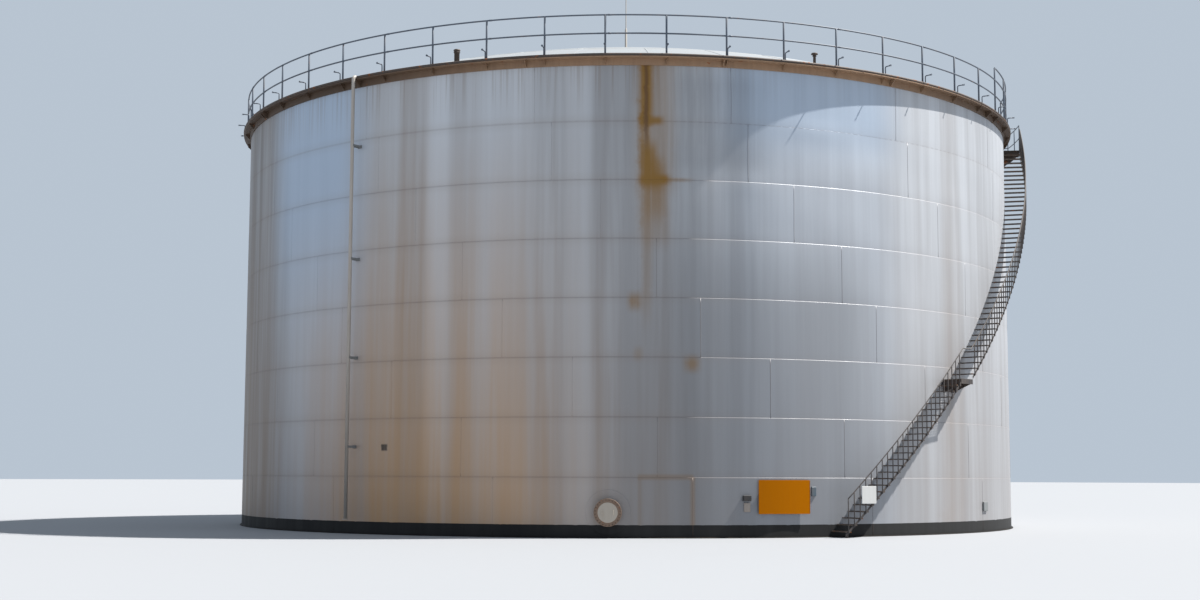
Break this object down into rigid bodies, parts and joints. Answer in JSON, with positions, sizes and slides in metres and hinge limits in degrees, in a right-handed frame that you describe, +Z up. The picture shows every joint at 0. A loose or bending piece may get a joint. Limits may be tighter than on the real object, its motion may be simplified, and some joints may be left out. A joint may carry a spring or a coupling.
{
  "type": "vertical storage tank",
  "caption": "Upright cylindrical steel liquid storage tank with a dome roof, wind girder, rim handrail, spray cooling ring, winding side stair and shell manhole.",
  "frame": {"origin": "on the tank's axis, at the underside of the bottom plate", "axes": "+Z up along the tank axis; -Y points to the side seen in the picture, where the manhole lies; +X points to the side of the stair"},
  "size_m": [30.2623, 29.9338, 21.4443],
  "materials": {
    "aluminium_paint": "satin aluminium paint, weathered",
    "roof_paint": "pale satin paint",
    "rusty_steel": "rusted steel",
    "rail_paint": "dark blue-grey satin paint",
    "galvanised_steel": "dull galvanised steel",
    "bitumen": "matt black bitumen",
    "dark_steel": "dark weathered steel",
    "orange_paint": "satin orange paint",
    "box_black": "satin black paint",
    "tag_brown": "dull brown paint",
    "plate_blue": "dull blue-grey paint",
    "plate_grey": "dull grey paint",
    "notice_white": "satin white paint"
  },
  "bodies": {
    "root": {"bottom_plate": "bitumen", "box_tag": "tag_brown", "cooling_ring": "dark_steel", "dome_roof": "roof_paint", "gauge_hatch": "galvanised_steel", "junction_box": "box_black", "lightning_rod": "galvanised_steel", "manhole_cover": "aluminium_paint", "manhole_neck": "dark_steel", "manhole_plate": "aluminium_paint", "orange_board": "orange_paint", "platform_guard": "rail_paint", "rim_handrail_1": "rail_paint", "rim_handrail_2": "rail_paint", "rim_handrail_3": "rail_paint", "rim_handrail_4": "rail_paint", "rim_handrail_5": "rail_paint", "rim_handrail_6": "rail_paint", "rim_handrail_7": "rail_paint", "riser_pipe": "galvanised_steel", "roof_vent": "galvanised_steel", "shell_course_1": "aluminium_paint", "shell_course_2": "aluminium_paint", "shell_course_3": "aluminium_paint", "shell_course_4": "aluminium_paint", "shell_course_5": "aluminium_paint", "shell_course_6": "aluminium_paint", "shell_course_7": "aluminium_paint", "shell_course_8": "aluminium_paint", "side_plate": "plate_grey", "small_plate": "plate_blue", "stair_guard_lower": "rail_paint", "stair_guard_upper": "rail_paint", "stair_landing": "galvanised_steel", "stair_lower_flight": "galvanised_steel", "stair_notice": "notice_white", "stair_platform": "dark_steel", "stair_upper_flight": "galvanised_steel", "wind_girder": "rusty_steel"}
  },
  "joints": []
}
